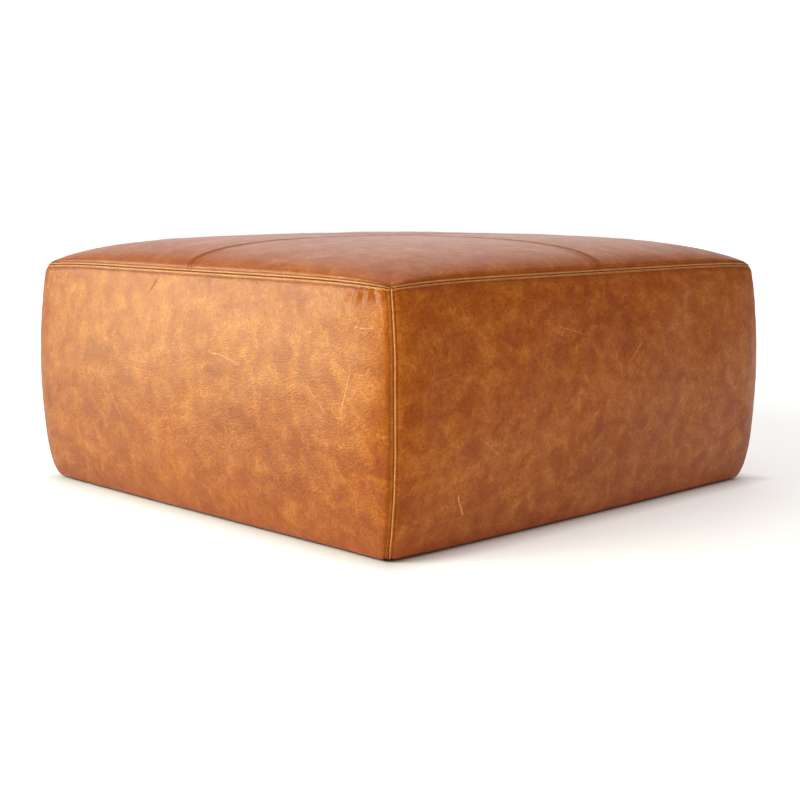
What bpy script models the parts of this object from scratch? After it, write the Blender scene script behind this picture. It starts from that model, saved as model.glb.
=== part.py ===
"""Square leather floor pouf: a sewn leather cover over foam, a webbed deck and a timber frame.

Metres, +Z up. The origin is on the floor, under the middle of the pouf, and the front faces -Y.
Every layer is worked out from the outside of the leather inwards, so each one fits in the next.
"""

import math

import bpy
import numpy as np
from mathutils import Matrix

# Outside of the leather cover
SEAM_HEIGHT = 0.390       # top seam above the floor, at the corners
SEAM_HALF = 0.457         # half the side of the square that the top seam makes
SEAM_BOW = 0.005          # how far the middle of each top seam stands out past its ends
SEAM_RISE = 0.007         # how far each top seam stands above its ends
SEAM_FLAT = 6             # power of the fall towards the ends: higher keeps more of the seam level
CROWN = 0.048             # height of the middle of the top above the middle of a top seam
SHOULDER_POWER = 3.8      # the crown falls as (1 - u ** SHOULDER_POWER) ** SHOULDER_ROOT
SHOULDER_ROOT = 0.45
BASE_HALF = 0.456         # half the side of the square at the floor, before the lower roll
BASE_BOW = 0.003
CORNER_BULGE = 0.014      # how far the corners stand out at half height
FACE_BULGE = 0.004        # how much further the middle of a face stands out at half height
ROLL_DEPTH = 0.013        # how far the leather rolls in towards the floor
ROLL_HEIGHT = 0.080
LOWEST = 0.0035           # the roll clears the floor by this much
CORNER_INSET_TOP = 0.004  # how much the rounding takes off a corner, along X and along Y
CORNER_INSET_MIDDLE = 0.010

# Sheet goods and clearances
LEATHER = 0.0013
GAP = 0.0003              # between touching pieces
SEAM_GAP = 0.0018         # between panels where the seam allowance turns in
LAYER_GAP = 0.0006        # between the leather and the padding under it
FLANGE = 0.034            # leather turned under the base rails
MITRE = 0.0065            # the turned edges stop this short of the diagonal, at each corner
BATTING = 0.010
CLOTH = 0.0008
DUST_COVER = 0.0006

# Timber frame
FRAME_HALF = 0.408
POST = 0.045
RAIL_THICK = 0.022
RAIL_HIGH = 0.060
BOARD = 0.004
BRACE_NEAR = 0.073        # corner brace, along each rail from the frame's outer corner
BRACE_FAR = 0.128
BRACE_HIGH = 0.040
EASED_EDGE = 0.0015
FRAME_TOP = 0.260

# Webbing
STRAP_WIDE = 0.050
STRAP_THICK = 0.0012
STRAP_PITCH = 0.140
STRAPS = 5
STRAP_END = 0.004         # a strap stops this short of the frame's outer face
STRAP_FLAT = 0.002        # it runs level this far past the edge of a strap that it crosses
CLOTH_MARGIN = 0.002      # the deck cloth stops this short of the frame's outer face
DUST_MARGIN = 0.012       # and the dust cover this short

# Glides and their screws
GLIDE_HIGH = 0.005
GLIDE_RADIUS = 0.016
GLIDE_EDGE = 0.001
BORE_RADIUS = 0.0024
RECESS_RADIUS = 0.0050
RECESS_DEEP = 0.0026
SHANK_RADIUS = 0.0020
HEAD_RADIUS = 0.0044
HEAD_HIGH = 0.0018
HEAD_EDGE = 0.0006
POINT_LONG = 0.005
POINT_RADIUS = 0.0002
SCREW_TIP = 0.034
ROUND_STEPS = 18
CUT_PAST = 0.01           # a drill runs this far past the face that it enters

DUST_BOTTOM = GLIDE_HIGH + GAP
FLANGE_BOTTOM = DUST_BOTTOM + DUST_COVER + GAP
FRAME_BOTTOM = FLANGE_BOTTOM + LEATHER + GAP
WAVE = (STRAP_THICK + GAP) / 2 + 0.0001     # straps rise and dip by this to pass each other
STRAP_MIDDLE = FRAME_TOP + GAP + STRAP_THICK / 2 + WAVE
CLOTH_BOTTOM = STRAP_MIDDLE + WAVE + STRAP_THICK / 2 + GAP
FOAM_BOTTOM = CLOTH_BOTTOM + CLOTH + GAP
PAD_TOP = FOAM_BOTTOM - GAP
BOARD_OUT = FRAME_HALF + GAP + BOARD
PAD_IN = BOARD_OUT + GAP

SIDES = {"front": 0, "right": 1, "back": 2, "left": 3}
CORNERS = {"front_right": 0, "back_right": 1, "back_left": 2, "front_left": 3}

# Fractions of half a face, closer together towards the corner
EDGE_STEPS = np.sin(np.linspace(-1, 1, 17) * math.pi / 2)
TOP_STEPS = np.sin(np.linspace(0, 1, 11) * math.pi / 2)
# Levels of the lower roll, then of the side above it
ROLL_LEVELS = LOWEST + ROLL_HEIGHT * (1 - np.cos(np.linspace(0, math.pi / 2, 5)))
SIDE_LEVELS = np.array([0.110, 0.185, PAD_TOP, 0.312, 0.355])


def clear_scene():
    for obj in list(bpy.data.objects):
        bpy.data.objects.remove(obj, do_unlink=True)


def material(name, colour, roughness, metallic=0.0):
    made = bpy.data.materials.new(name)
    made.use_nodes = True
    shader = made.node_tree.nodes["Principled BSDF"]
    shader.inputs["Base Color"].default_value = (*colour, 1.0)
    shader.inputs["Roughness"].default_value = roughness
    shader.inputs["Metallic"].default_value = metallic
    return made


def add(name, points, faces, finish, smooth=False):
    mesh = bpy.data.meshes.new(name)
    mesh.from_pydata([tuple(map(float, point)) for point in points], [], faces)
    mesh.update()
    mesh.materials.append(finish)
    if smooth:
        mesh.shade_smooth()
    obj = bpy.data.objects.new(name, mesh)
    bpy.context.scene.collection.objects.link(obj)
    return obj


def quarter_turn(points, turns):
    """Points turned about Z, so that what is made for the front face serves every face."""
    return points @ np.array(Matrix.Rotation(turns * math.pi / 2, 3, "Z")).T


def level_point(u, v, half, bow, inset):
    """A place in a bowed square with round corners, for u and v from -1 to 1."""
    power = math.log(2) * half / inset
    reach = np.maximum(np.abs(u), np.abs(v))
    ratio = np.minimum(np.abs(u), np.abs(v)) / np.maximum(reach, 1e-9)
    factor = 1 - (1 - (1 + ratio ** power) ** (-1 / power)) * reach ** 8
    return u * factor * (half + bow * (1 - v * v)), v * factor * (half + bow * (1 - u * u))


def level_sizes(height):
    """The outline's half size, bow and corner inset at a height on the side."""
    t = (height - LOWEST) / (SEAM_HEIGHT - LOWEST)
    swell = math.sin(math.pi * t)
    below = min(max(1 - (height - LOWEST) / ROLL_HEIGHT, 0.0), 1.0)
    rolled = ROLL_DEPTH * (1 - math.sqrt(1 - below * below))
    half = BASE_HALF + (SEAM_HALF - BASE_HALF) * t + CORNER_BULGE * swell - rolled
    bow = BASE_BOW + (SEAM_BOW - BASE_BOW) * t + FACE_BULGE * swell
    inset = CORNER_INSET_TOP + (CORNER_INSET_MIDDLE - CORNER_INSET_TOP) * swell
    return half, bow, inset


def side_row(s, height):
    """One line along the front face: level up to the deck, and rising with the top seam above it."""
    x, y = level_point(s, np.full_like(s, -1), *level_sizes(height))
    lift = max(0.0, (height - PAD_TOP) / (SEAM_HEIGHT - PAD_TOP))
    return np.stack([x, y, height + SEAM_RISE * lift * (1 - s ** SEAM_FLAT)], axis=-1)


def top_point(u, v):
    """The crowned top."""
    x, y = level_point(u, v, SEAM_HALF, SEAM_BOW, CORNER_INSET_TOP)
    fall = [np.maximum(1 - np.abs(w) ** SHOULDER_POWER, 0) ** SHOULDER_ROOT for w in (u, v)]
    z = SEAM_HEIGHT + SEAM_RISE * (1 - (u * v) ** SEAM_FLAT) + CROWN * fall[0] * fall[1]
    return np.stack([x, y, z], axis=-1)


def top_grid():
    steps = np.concatenate([-TOP_STEPS[:0:-1], TOP_STEPS])
    return np.meshgrid(steps, steps, indexing="ij")


def inset_top(depth):
    """The top surface, moved in by depth along X and Y and down by depth."""
    shrink = 1 - depth / SEAM_HALF
    return top_point(*top_grid()) * [shrink, shrink, 1] - [0, 0, depth]


def facing_out(grid, outward):
    """Unit normals of a grid of points, on the side of a direction that points out at its middle."""
    across = np.cross(np.gradient(grid, axis=0), np.gradient(grid, axis=1))
    across /= np.linalg.norm(across, axis=-1, keepdims=True)
    middle = across[grid.shape[0] // 2, grid.shape[1] // 2]
    return across * np.sign(middle @ outward)


def side_grid(levels, seam_gap):
    """Fractions along the front face, and its points row by row from the floor."""
    s = EDGE_STEPS * (1 - seam_gap / SEAM_HALF)
    return s, np.stack([side_row(s, level) for level in levels])


def side_normals(grid):
    """Normals of the front face. The neighbours' next columns turn them evenly round the corners."""
    before, after = quarter_turn(grid[:, -2:-1], -1), quarter_turn(grid[:, 1:2], 1)
    return facing_out(np.concatenate([before, grid, after], axis=1), (0, -1, 0))[:, 1:-1]


def slab(name, outer, inner, finish, turns=0):
    """A closed solid between two grids of the same size. The outer grid's normals point out."""
    rows, columns = outer.shape[:2]
    count = rows * columns
    points = quarter_turn(np.concatenate([outer.reshape(-1, 3), inner.reshape(-1, 3)]), turns)
    faces = []
    for i in range(rows - 1):
        for j in range(columns - 1):
            a, b = i * columns + j, (i + 1) * columns + j
            faces.append((a, b, b + 1, a + 1))
            faces.append((count + a, count + a + 1, count + b + 1, count + b))
    rim = list(range(columns))
    rim += [i * columns + columns - 1 for i in range(1, rows)]
    rim += [(rows - 1) * columns + j for j in range(columns - 2, -1, -1)]
    rim += [i * columns for i in range(rows - 2, 0, -1)]
    for a, b in zip(rim, rim[1:] + rim[:1]):
        faces.append((a, b, count + b, count + a))
    return add(name, points, faces, finish, smooth=True)


def block(name, low, high, finish, bevel=EASED_EDGE):
    """A sawn piece of timber or board: a box with its long edges eased."""
    points = [(x, y, z) for z in (low[2], high[2]) for y in (low[1], high[1]) for x in (low[0], high[0])]
    faces = [(0, 2, 3, 1), (4, 5, 7, 6), (0, 1, 5, 4), (1, 3, 7, 5), (3, 2, 6, 7), (2, 0, 4, 6)]
    obj = add(name, points, faces, finish)
    if bevel:
        eased = obj.modifiers.new("eased_edges", "BEVEL")
        eased.width = bevel
        eased.segments = 1
    return obj


def prism(name, outline, low, high, finish):
    """An outline in plan, running anticlockwise, made solid from low to high."""
    count = len(outline)
    points = [(x, y, z) for z in (low, high) for x, y in outline]
    faces = [tuple(range(count - 1, -1, -1)), tuple(range(count, 2 * count))]
    for i in range(count):
        after = (i + 1) % count
        faces.append((i, after, count + after, count + i))
    return add(name, points, faces, finish)


def turned(name, profile, centre, finish, closed=True):
    """A profile of (radius, height), running anticlockwise, turned about a vertical axis.

    A closed profile makes a ring. An open one starts and ends near the axis and is capped there."""
    points, faces, count = [], [], len(profile)
    for step in range(ROUND_STEPS):
        angle = 2 * math.pi * step / ROUND_STEPS
        across, along = math.cos(angle), math.sin(angle)
        points += [(centre[0] + r * across, centre[1] + r * along, height) for r, height in profile]
    for step in range(ROUND_STEPS):
        here, there = step * count, (step + 1) % ROUND_STEPS * count
        for i in range(count if closed else count - 1):
            after = (i + 1) % count
            faces.append((here + i, there + i, there + after, here + after))
    if not closed:
        starts = [step * count for step in range(ROUND_STEPS)]
        faces += [tuple(reversed(starts)), tuple(start + count - 1 for start in starts)]
    return add(name, points, faces, finish)


def bored(obj, centre, low, high):
    """Cuts a screw's pilot hole in a piece."""
    count = ROUND_STEPS
    ring = [(centre[0] + BORE_RADIUS * math.cos(2 * math.pi * i / count),
             centre[1] + BORE_RADIUS * math.sin(2 * math.pi * i / count)) for i in range(count)]
    cutter = prism(f"cutter_{obj.name}_{len(obj.modifiers)}", ring, low, high, obj.data.materials[0])
    cutter.hide_render = True
    cutter.display_type = "WIRE"
    hole = obj.modifiers.new("pilot_hole", "BOOLEAN")
    hole.operation = "DIFFERENCE"
    hole.solver = "EXACT"
    hole.object = cutter


def turned_edge(s):
    """The two lowest rows of a leather side, where it is turned under the base rails."""
    return np.stack([np.stack([s * (out - MITRE), np.full_like(s, -out), np.full_like(s, FLANGE_BOTTOM)],
                              axis=-1) for out in (FRAME_HALF - FLANGE, BOARD_OUT)])


def side_panel(name, turns, finish):
    """A leather side: the face, its lower roll and the edge that is turned under the base rails."""
    s, face = side_grid([*ROLL_LEVELS, *SIDE_LEVELS, SEAM_HEIGHT - SEAM_GAP], SEAM_GAP / 2)
    under = turned_edge(s)
    outer = np.concatenate([under, face])
    facing = side_normals(outer)
    facing[:len(under)] = (0, 0, -1)
    return slab(name, outer[::-1], (outer - LEATHER * facing)[::-1], finish, turns)


def side_pad(name, turns, finish):
    """Foam glued to a side board, from the lower roll up to the seat foam."""
    s, face = side_grid([*ROLL_LEVELS, *SIDE_LEVELS[:3]], SEAM_GAP)
    under = turned_edge(s)
    facing = side_normals(np.concatenate([under, face]))[len(under):]
    outer = face - (LEATHER + LAYER_GAP) * facing
    outer[-1, :, 2] = PAD_TOP
    inner = outer.copy()
    inner[..., 0] = s * (PAD_IN - SEAM_GAP / 2)
    inner[..., 1] = -PAD_IN
    inner[..., 2] = np.maximum(outer[..., 2], FRAME_BOTTOM + GAP)
    inner[0, :, 2] = FRAME_BOTTOM
    return slab(name, outer[::-1], inner[::-1], finish, turns)


def top_panel(name, turns, finish):
    """A quarter of the leather top, from the middle seams out to the edge seam."""
    steps = np.maximum(TOP_STEPS, SEAM_GAP / 2 / SEAM_HALF)
    u, v = np.meshgrid(steps, -steps, indexing="ij")
    outer = top_point(u, v)
    inner = outer - LEATHER * facing_out(outer, (0, 0, 1))
    return slab(name, outer[:, ::-1], inner[:, ::-1], finish, turns)


def batting(name, finish):
    """The fibre layer over the seat foam, as wide as the top seam."""
    depth = LEATHER + LAYER_GAP
    return slab(name, inset_top(depth), inset_top(depth + BATTING), finish)


def seat_foam(name, finish):
    """The foam block: crowned above, and flat where it lies on the deck and the side pads."""
    half, bow, inset = level_sizes(PAD_TOP)
    x, y = level_point(*top_grid(), half - LEATHER - 2 * LAYER_GAP, bow, inset)
    lower = np.stack([x, y, np.full_like(x, FOAM_BOTTOM)], axis=-1)
    return slab(name, inset_top(LEATHER + 2 * LAYER_GAP + BATTING), lower, finish)


def glide(name, centre, finish):
    """A nylon disc with a recess for its screw's head in the face that meets the floor."""
    profile = [(BORE_RADIUS, RECESS_DEEP), (RECESS_RADIUS, RECESS_DEEP), (RECESS_RADIUS, 0),
               (GLIDE_RADIUS - GLIDE_EDGE, 0), (GLIDE_RADIUS, GLIDE_EDGE), (GLIDE_RADIUS, GLIDE_HIGH),
               (BORE_RADIUS, GLIDE_HIGH)]
    return turned(name, profile, centre, finish)


def glide_screw(name, centre, finish):
    """A pan-head screw, its head in the glide's recess and its point in the corner post."""
    seat = RECESS_DEEP - GAP
    profile = [(POINT_RADIUS, seat - HEAD_HIGH), (HEAD_RADIUS - HEAD_EDGE, seat - HEAD_HIGH),
               (HEAD_RADIUS, seat - HEAD_HIGH + HEAD_EDGE), (HEAD_RADIUS, seat), (SHANK_RADIUS, seat),
               (SHANK_RADIUS, SCREW_TIP - POINT_LONG), (POINT_RADIUS, SCREW_TIP)]
    return turned(name, profile, centre, finish, closed=False)


def strap(name, index, across, finish):
    """One webbing strap, woven over and under the straps that cross it."""
    places = [(i - (STRAPS - 1) / 2) * STRAP_PITCH for i in range(STRAPS)]
    end = FRAME_HALF - STRAP_END
    on_rail = end - 1.5 * RAIL_THICK
    low = STRAP_MIDDLE - WAVE
    stations = [(-end, low), (-on_rail, low)]
    for crossing, place in enumerate(places):
        over = (index + crossing) % 2 == int(across)
        height = STRAP_MIDDLE + (WAVE if over else -WAVE)
        flat = STRAP_WIDE / 2 + STRAP_FLAT
        stations += [(place - flat, height), (place + flat, height)]
    stations += [(on_rail, low), (end, low)]
    middle = np.array([[(along, places[index] + side * STRAP_WIDE / 2, height) for side in (-1, 1)]
                       for along, height in stations])
    half_thick = np.array([0, 0, STRAP_THICK / 2])
    return slab(name, middle + half_thick, middle - half_thick, finish, turns=0 if across else 1)


def turned_round(obj, turns):
    """Turns a piece made at one side or corner to another."""
    obj.data.transform(Matrix.Rotation(turns * math.pi / 2, 4, "Z"))
    return obj


def post_centre(turns):
    near = FRAME_HALF - POST / 2
    return quarter_turn(np.array([near, -near, 0]), turns)[:2]


def rails(side, turns, finish):
    """The base rail and the top rail of one side, between its posts."""
    reach = FRAME_HALF - POST - GAP
    for level, low in (("base", FRAME_BOTTOM), ("top", FRAME_TOP - RAIL_HIGH)):
        rail = block(f"{level}_rail_{side}", (-reach, -FRAME_HALF, low),
                     (reach, RAIL_THICK - FRAME_HALF, low + RAIL_HIGH), finish)
        turned_round(rail, turns)


def side_board(side, turns, finish):
    """Hardboard over the rails: the front and back boards lap the ends of the other two."""
    reach = BOARD_OUT if side in ("front", "back") else FRAME_HALF
    made = block(f"side_board_{side}", (-reach, -BOARD_OUT, FRAME_BOTTOM),
                 (reach, BOARD - BOARD_OUT, FRAME_TOP), finish, bevel=0)
    return turned_round(made, turns)


def corner_post(corner, turns, finish):
    post = block(f"corner_post_{corner}", (FRAME_HALF - POST, -FRAME_HALF, FRAME_BOTTOM),
                 (FRAME_HALF, POST - FRAME_HALF, FRAME_TOP), finish)
    turned_round(post, turns)
    bored(post, post_centre(turns), FRAME_BOTTOM - CUT_PAST, SCREW_TIP + BORE_RADIUS)


def corner_brace(corner, turns, finish):
    """A block with mitred ends, glued across the corner between two top rails."""
    near, far = FRAME_HALF - BRACE_NEAR, FRAME_HALF - BRACE_FAR
    face = FRAME_HALF - RAIL_THICK - GAP
    low = FRAME_TOP - RAIL_HIGH
    outline = [(far, -face), (near, -face), (face, -near), (face, -far)]
    return turned_round(prism(f"corner_brace_{corner}", outline, low, low + BRACE_HIGH, finish), turns)


def base_stretcher(finish):
    """A rail across the middle of the base, from the front base rail to the back one."""
    reach = FRAME_HALF - RAIL_THICK - GAP
    return block("base_stretcher", (-RAIL_THICK / 2, -reach, FRAME_BOTTOM),
                 (RAIL_THICK / 2, reach, FRAME_BOTTOM + RAIL_HIGH), finish)


def flat_sheet(name, margin, low, thick, finish):
    half = FRAME_HALF - margin
    return block(name, (-half, -half, low), (half, half, low + thick), finish, bevel=0)


def build():
    clear_scene()
    leather = material("cognac_leather", (0.42, 0.18, 0.07), 0.5)
    timber = material("sawn_timber", (0.62, 0.45, 0.27), 0.7)
    board = material("hardboard", (0.33, 0.22, 0.13), 0.75)
    foam = material("seat_foam", (0.86, 0.82, 0.62), 0.9)
    fibre = material("fibre_batting", (0.9, 0.9, 0.88), 0.95)
    webbing = material("woven_webbing", (0.12, 0.11, 0.1), 0.8)
    cloth = material("deck_cloth", (0.55, 0.44, 0.28), 0.9)
    lining = material("dust_cover", (0.03, 0.03, 0.03), 0.85)
    plastic = material("glide_plastic", (0.05, 0.05, 0.05), 0.45)
    steel = material("zinc_steel", (0.6, 0.6, 0.6), 0.35, 1.0)

    base_stretcher(timber)
    flat_sheet("deck_cloth", CLOTH_MARGIN, CLOTH_BOTTOM, CLOTH, cloth)
    dust = flat_sheet("dust_cover", DUST_MARGIN, DUST_BOTTOM, DUST_COVER, lining)
    seat_foam("seat_foam", foam)
    batting("top_batting", fibre)
    for index in range(STRAPS):
        strap(f"webbing_across_{index + 1}", index, True, webbing)
        strap(f"webbing_lengthwise_{index + 1}", index, False, webbing)
    for side, turns in SIDES.items():
        rails(side, turns, timber)
        side_board(side, turns, board)
        side_pad(f"side_foam_{side}", turns, foam)
        side_panel(f"leather_side_{side}", turns, leather)
    for corner, turns in CORNERS.items():
        corner_post(corner, turns, timber)
        corner_brace(corner, turns, timber)
        top_panel(f"leather_top_{corner}", turns, leather)
        bored(dust, post_centre(turns), DUST_BOTTOM - CUT_PAST, DUST_BOTTOM + CUT_PAST)
        glide(f"glide_{corner}", post_centre(turns), plastic)
        glide_screw(f"glide_screw_{corner}", post_centre(turns), steel)


build()
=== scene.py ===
"""The looks of a square leather floor pouf: its stitched cover, padding, webbing, underside and finishes.

The cover is eight leather panels. Each one is a grid laid on a smooth form, the CAD cover's with rounder
corners, then worked: its edges roll into the seams, the stitch lines draw it down, the foam swells it, and
folds from a short cloth simulation are drawn on it.
Lengths are in metres. The front face looks along -Y, and what is made for it is turned for the others.
"""

import math

import bpy
import numpy as np
from mathutils import Matrix, Vector


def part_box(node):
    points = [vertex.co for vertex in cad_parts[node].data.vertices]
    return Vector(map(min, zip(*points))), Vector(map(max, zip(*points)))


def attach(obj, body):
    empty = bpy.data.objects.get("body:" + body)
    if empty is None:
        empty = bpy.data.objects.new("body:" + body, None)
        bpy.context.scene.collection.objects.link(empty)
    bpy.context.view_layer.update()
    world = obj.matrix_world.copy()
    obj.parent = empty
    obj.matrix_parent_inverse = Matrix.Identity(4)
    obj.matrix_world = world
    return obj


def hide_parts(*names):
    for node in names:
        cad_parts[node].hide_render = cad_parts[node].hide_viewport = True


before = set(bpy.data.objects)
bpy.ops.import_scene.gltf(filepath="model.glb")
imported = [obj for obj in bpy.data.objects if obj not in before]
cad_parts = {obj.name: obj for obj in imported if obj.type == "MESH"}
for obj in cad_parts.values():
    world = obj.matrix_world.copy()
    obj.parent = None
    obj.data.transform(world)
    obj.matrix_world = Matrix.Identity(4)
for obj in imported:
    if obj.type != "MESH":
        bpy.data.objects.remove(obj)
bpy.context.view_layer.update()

SIDES = {"front": 0, "right": 1, "back": 2, "left": 3}
CORNERS = {"front_right": 0, "back_right": 1, "back_left": 2, "front_left": 3}

# Places read from the frame.
COVER_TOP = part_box("leather_top_front_right")[1].z
FRAME_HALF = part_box("corner_post_front_right")[1].x
BOARD_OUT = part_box("side_board_front")[1].x
FRAME_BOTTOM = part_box("side_board_front")[0].z
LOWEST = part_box("leather_side_front")[0].z
PAD_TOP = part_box("side_foam_front")[1].z
FOAM_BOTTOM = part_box("seat_foam")[0].z
DUST_LOW, DUST_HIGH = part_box("dust_cover")

# The cover's form: the CAD solids', with rounder corners along the top seam and a fuller edge below it.
SEAM_HEIGHT = 0.390       # of the top seam, at the corners
SEAM_HALF = 0.457         # from the middle to the end of a top seam, along X and along Y
SEAM_BOW = 0.005          # how far the middle of each top seam stands out past its ends
SEAM_RISE = 0.007         # and how far above them
SEAM_FLAT = 6             # higher keeps the seam level for longer before it falls to the corners
CROWN = COVER_TOP - SEAM_HEIGHT - SEAM_RISE
SHOULDER_POWER = 3.8      # these two shape the crown from its middle to the seam
SHOULDER_ROOT = 0.45
BASE_HALF = 0.456
BASE_BOW = 0.003
CORNER_BULGE = 0.0195     # how far the corners stand out at half height
FACE_BULGE = 0.004        # how much further the middle of a face stands out there
ROLL_DEPTH = 0.013        # how far the leather rolls in towards the floor
ROLL_HEIGHT = 0.080
EDGE_FULL = 0.0034        # how far the face stands out just below the top seam
CORNER_INSET_TOP = 0.009  # what the rounding takes off a corner, along X and along Y
CORNER_INSET_BASE = 0.004
CORNER_INSET_MIDDLE = 0.016
LEATHER = 0.0013
GAP = 0.0003              # between touching pieces
MITRE = 0.0065            # the turned edges stop this short of the diagonal, at each corner
FLANGE = 0.034            # leather turned under the base rails
TUCK = 0.35               # the share of it that bends in to the rail

# The seams.
SEAM_CLEAR = 0.00008      # each panel stops this short of the join
EDGE_ROLL = 0.0007        # radius at which the leather rolls into a seam
EDGE_DEEP = 0.0009        # how far it goes on straight down after that
STITCH_AT = 0.0052        # rows of stitches run this far from the join
STITCH_PITCH = 0.0050     # from one stitch to the next
STITCH_LONG = 0.0031
THREAD = 0.00048          # radius of the thread
CALM = 0.05               # the foam's swell fades out over this distance from a seam
FOLD_SHARE = 0.55         # how much of the simulated folds is kept
FOLD_CAP = 0.0012         # and how high they may stand
SEAM_FLOOR = -EDGE_ROLL - EDGE_DEEP - 0.001    # no seam sinks lower, where two of them meet
PROXY_FOOT = LOWEST + 0.004                    # the foot of the cover that the cloth simulation moves
TOP_OFFSET = 17.0                              # marks the first top panel in the flat coordinates

# The spacing of the grid lines.
FINE_START = 0.00006      # at a seam
FINE_STEP = 0.0008        # beside it, up to FINE_REACH
FINE_REACH = 0.0076
FACE_STEP = 0.0036        # the widest, out on the face

random = np.random.default_rng(11)


def side_offset(turns):
    """The third flat coordinate of a side panel, so that no two panels share a pattern."""
    return 3.0 + 2.7 * turns


# ---------------------------------------------------------------- form


def quarter_turn(points, turns):
    """Points turned about Z, so that what is made for the front face serves every face."""
    return points @ np.array(Matrix.Rotation(turns * math.pi / 2, 3, "Z")).T


def level_point(u, v, half, bow, inset):
    """A place in a bowed square with round corners, for u and v from -1 to 1."""
    power = math.log(2) * half / inset
    reach = np.maximum(np.abs(u), np.abs(v))
    ratio = np.minimum(np.abs(u), np.abs(v)) / np.maximum(reach, 1e-9)
    factor = 1 - (1 - (1 + ratio ** power) ** (-1 / power)) * reach ** 8
    return u * factor * (half + bow * (1 - v * v)), v * factor * (half + bow * (1 - u * u))


def level_sizes(height):
    """The outline's half size, bow and corner inset at a height on the side."""
    t = np.clip((height - LOWEST) / (SEAM_HEIGHT - LOWEST), 0, 1)
    swell = np.sin(np.pi * t)
    below = np.clip(1 - (height - LOWEST) / ROLL_HEIGHT, 0, 1)
    rolled = ROLL_DEPTH * (1 - np.sqrt(1 - below * below))
    below_seam = np.maximum(SEAM_HEIGHT - height, 0)
    full = EDGE_FULL * (1 - np.exp(-below_seam / 0.011)) * np.exp(-below_seam / 0.12)
    half = BASE_HALF + (SEAM_HALF - BASE_HALF) * t + CORNER_BULGE * swell + full - rolled
    bow = BASE_BOW + (SEAM_BOW - BASE_BOW) * t + FACE_BULGE * swell
    plain = CORNER_INSET_BASE + (CORNER_INSET_TOP - CORNER_INSET_BASE) * t
    inset = plain + (CORNER_INSET_MIDDLE - plain) * swell
    return half, bow, inset


def side_surface(s, height):
    """The front face, for s from -1 to 1: level up to the deck, and rising with the top seam above it."""
    x, y = level_point(s, -np.ones_like(s), *level_sizes(height))
    lift = np.maximum(0, (height - PAD_TOP) / (SEAM_HEIGHT - PAD_TOP))
    return np.stack([x, y, height + SEAM_RISE * lift * (1 - s ** SEAM_FLAT)], axis=-1)


def side_grid(s, levels):
    """The front face as a grid, a row for each level from the top down."""
    return side_surface(s[None, :] * np.ones((len(levels), 1)), levels[:, None] * np.ones((1, len(s))))


def side_facing(grid):
    """A side grid's normals, smooth across the corner seams."""
    before, after = quarter_turn(grid[:, -2:-1], -1), quarter_turn(grid[:, 1:2], 1)
    return normals(np.concatenate([before, grid, after], axis=1))[:, 1:-1]


def roll_levels(angles):
    """Heights down the roll at the foot, for angles from pi/2 at its top to 0 at its lowest."""
    return LOWEST + ROLL_HEIGHT * (1 - np.cos(angles))


def shoulder(w):
    return np.maximum(1 - np.abs(w) ** SHOULDER_POWER, 0) ** SHOULDER_ROOT


def top_surface(u, v):
    """The crowned top."""
    x, y = level_point(u, v, SEAM_HALF, SEAM_BOW, CORNER_INSET_TOP)
    z = SEAM_HEIGHT + SEAM_RISE * (1 - (u * v) ** SEAM_FLAT) + CROWN * shoulder(u) * shoulder(v)
    return np.stack([x, y, z], axis=-1)


def unit(vectors):
    return vectors / np.maximum(np.linalg.norm(vectors, axis=-1, keepdims=True), 1e-12)


def normals(grid):
    """Unit normals of a grid of points whose rows and columns run so that they point out."""
    return unit(np.cross(np.gradient(grid, axis=0), np.gradient(grid, axis=1)))


def lengths(grid, axis):
    """How far each point lies along its grid line, from the line's first end."""
    steps = np.linalg.norm(np.diff(grid, axis=axis), axis=-1)
    start = np.zeros_like(np.take(steps, [0], axis=axis))
    return np.concatenate([start, np.cumsum(steps, axis=axis)], axis=axis)


def from_seam(reach):
    """Distances of grid lines from a seam: close together near it, then FACE_STEP apart, up to reach."""
    places, step = [0.0], FINE_START
    while places[-1] < reach:
        places.append(places[-1] + step)
        grow = 1.9 if step < FINE_STEP else (1.0 if places[-1] < FINE_REACH else 1.022)
        step = min(step * grow, FINE_STEP if places[-1] < FINE_REACH else FACE_STEP)
    return np.array(places) * reach / places[-1]


def between_seams(length):
    """Places of grid lines along a length with a seam at both ends."""
    half = from_seam(length / 2)
    return np.concatenate([half, length - half[-2::-1]])


def at_places(curve, parameter, places):
    """The parameter at which a densely sampled curve reaches each place along it."""
    along = lengths(curve, 0)
    return np.interp(places, along, parameter)


def waves(points, seed, wavelength, count=14, stretch=(1, 1, 1)):
    """A smooth random swell over space, about -1 to 1: sines in random directions."""
    source = np.random.default_rng(seed)
    total = np.zeros(points.shape[:-1])
    for _ in range(count):
        direction = unit(source.normal(size=3)) * np.array(stretch)
        length = wavelength * source.uniform(0.7, 1.5)
        total += np.sin(points @ direction * 2 * math.pi / length + source.uniform(0, 2 * math.pi))
    return total / math.sqrt(count)


def eased(x):
    """0 below 0, 1 above 1, and smooth between."""
    x = np.clip(x, 0, 1)
    return x * x * (3 - 2 * x)


def bump(x):
    """1 at 0, falling smoothly to nothing by about 2."""
    return np.exp(-x * x)


# ---------------------------------------------------------------- meshes


def new_object(name, points, faces, materials, smooth=True, indices=None):
    mesh = bpy.data.meshes.new(name)
    mesh.from_pydata(np.asarray(points, float).tolist(), [], np.asarray(faces).tolist()
                     if isinstance(faces, np.ndarray) else faces)
    for finish in materials:
        mesh.materials.append(finish)
    if indices is not None:
        mesh.polygons.foreach_set("material_index", np.asarray(indices, np.int32))
    mesh.update()
    if smooth:
        mesh.shade_smooth()
    made = bpy.data.objects.new(name, mesh)
    bpy.context.scene.collection.objects.link(made)
    return made


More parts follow.
